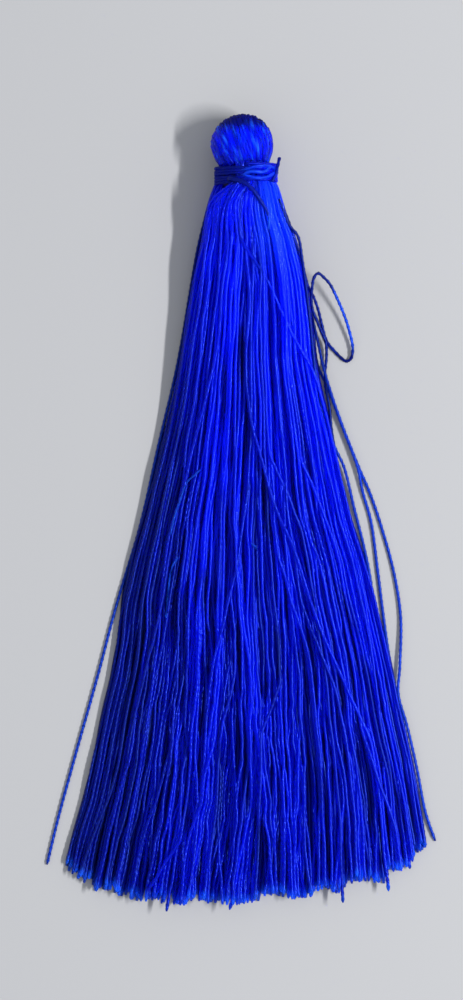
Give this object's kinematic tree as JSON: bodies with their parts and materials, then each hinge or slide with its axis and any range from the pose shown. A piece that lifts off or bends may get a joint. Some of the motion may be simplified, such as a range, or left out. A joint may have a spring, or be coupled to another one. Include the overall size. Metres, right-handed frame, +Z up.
{
  "type": "tassel",
  "caption": "Thread tassel lying on its side: a round wound head, a neck bound and knotted with the same thread, and a fanned skirt of loose strands.",
  "frame": {"origin": "centre of the small flat spot under the head, on the surface the tassel lies on", "axes": "+X across the skirt, to the right seen from above with the head away; +Y along the tassel from the hem to the head; +Z up, off the surface"},
  "size_m": [0.0496, 0.1005, 0.0078],
  "materials": {
    "blue_thread": "glossy twisted thread",
    "blue_tie": "glossy twisted thread"
  },
  "bodies": {
    "root": {"thread_hank": "blue_thread", "neck_tie": "blue_tie"}
  },
  "joints": []
}
